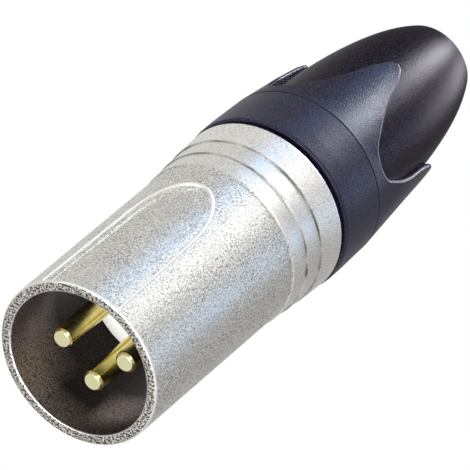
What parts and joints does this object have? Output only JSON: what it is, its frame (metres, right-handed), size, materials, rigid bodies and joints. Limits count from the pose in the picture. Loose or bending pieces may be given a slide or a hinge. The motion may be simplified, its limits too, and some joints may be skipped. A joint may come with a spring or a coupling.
{
  "type": "xlr plug",
  "caption": "Male round cable plug: nickel shell with recessed gold pins, dark clamping ring with long petals over a tapering boot.",
  "frame": {"origin": "centre of the mating mouth's rim, which is the bottom of the standing plug", "axes": "+Z along the axis from the mouth to the cable end, +Y towards the thumb panel and keyway, opposite pin 3, +X towards pin 1"},
  "size_m": [0.0204, 0.0204, 0.069],
  "materials": {
    "nickel_shell": "satin nickel plate with a fine sparkling grain",
    "pale_insert": "smooth moulded",
    "gold_pins": "polished gold plate",
    "spring_steel": "bright strip",
    "chuck_plastic": "moulded",
    "bushing_plastic": "satin, fine grain",
    "boot_rubber": "soft satin"
  },
  "bodies": {
    "plug_body": {"housing": "nickel_shell", "insert": "pale_insert", "pin_1": "gold_pins", "pin_2": "gold_pins", "pin_3": "gold_pins", "ground_spring": "spring_steel"},
    "clamp": {"chuck": "chuck_plastic"},
    "end_cap": {"bushing": "bushing_plastic", "boot": "boot_rubber"}
  },
  "joints": [
    {"name": "clamp_travel", "type": "slide", "parent": "plug_body", "child": "clamp", "axis": [0, 0, 1], "range_m": [0, 0.005]},
    {"name": "bushing_turn", "type": "hinge", "parent": "clamp", "child": "end_cap", "pos_m": [0, 0, 0.04], "axis": [0, 0, 1], "range_deg": [0, 1440]}
  ],
  "couplings": [
    {"joint": "clamp_travel", "follows": "bushing_turn", "m_per_rad": 0.00019894}
  ]
}
